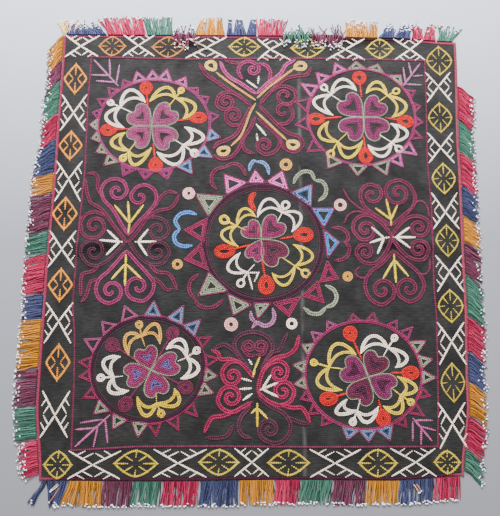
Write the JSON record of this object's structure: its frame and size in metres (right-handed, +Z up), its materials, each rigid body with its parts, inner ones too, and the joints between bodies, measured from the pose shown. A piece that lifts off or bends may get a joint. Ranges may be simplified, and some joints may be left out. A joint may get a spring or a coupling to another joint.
{
  "type": "embroidered mirror cover",
  "caption": "Square black cloth cover with chain-stitched rosettes, horn scrolls and a lozenge border, edged in tape and fringed with beaded threads, lying flat.",
  "frame": {"origin": "middle of the cover's whole outline with its fringe, on the surface it lies on", "axes": "+Z up out of the embroidered face, +Y towards the top border"},
  "size_m": [0.6035, 0.6577, 0.0051],
  "materials": {
    "ground_cloth": "matte",
    "edging_tape": "matte",
    "thread_red": "matte",
    "thread_green": "matte",
    "thread_gold": "matte",
    "thread_plum": "matte",
    "thread_blue": "matte",
    "embroidery_silk": "satin",
    "bead_glass": "gloss"
  },
  "bodies": {
    "root": {"panel_left": "ground_cloth", "panel_right": "ground_cloth", "edging_left": "edging_tape", "edging_right": "edging_tape", "edging_top": "edging_tape", "edging_bottom": "edging_tape", "fringe_left_01": "thread_gold", "fringe_left_02": "thread_plum", "fringe_left_03": "thread_green", "fringe_left_04": "thread_red", "fringe_left_05": "thread_blue", "fringe_left_06": "thread_gold", "fringe_left_07": "thread_plum", "fringe_left_08": "thread_green", "fringe_left_09": "thread_red", "fringe_left_10": "thread_blue", "fringe_left_11": "thread_gold", "fringe_left_12": "thread_plum", "fringe_left_13": "thread_green", "fringe_left_14": "thread_red", "fringe_right_01": "thread_red", "fringe_right_02": "thread_green", "fringe_right_03": "thread_red", "fringe_right_04": "thread_blue", "fringe_right_05": "thread_gold", "fringe_right_06": "thread_plum", "fringe_right_07": "thread_green", "fringe_right_08": "thread_red", "fringe_right_09": "thread_blue", "fringe_right_10": "thread_gold", "fringe_right_11": "thread_red", "fringe_right_12": "thread_green", "fringe_top_01": "thread_blue", "fringe_top_02": "thread_red", "fringe_top_03": "thread_green", "fringe_top_04": "thread_plum", "fringe_top_05": "thread_gold", "fringe_top_06": "thread_blue", "fringe_top_07": "thread_red", "fringe_top_08": "thread_green", "fringe_top_09": "thread_plum", "fringe_top_10": "thread_gold", "fringe_top_11": "thread_blue", "fringe_top_12": "thread_red", "fringe_top_13": "thread_green", "fringe_bottom_01": "thread_blue", "fringe_bottom_02": "thread_gold", "fringe_bottom_03": "thread_plum", "fringe_bottom_04": "thread_green", "fringe_bottom_05": "thread_red", "fringe_bottom_06": "thread_blue", "fringe_bottom_07": "thread_gold", "fringe_bottom_08": "thread_red", "fringe_bottom_09": "thread_green", "fringe_bottom_10": "thread_plum", "fringe_bottom_11": "thread_gold", "fringe_bottom_12": "thread_blue", "fringe_bottom_13": "thread_red"}
  },
  "joints": []
}
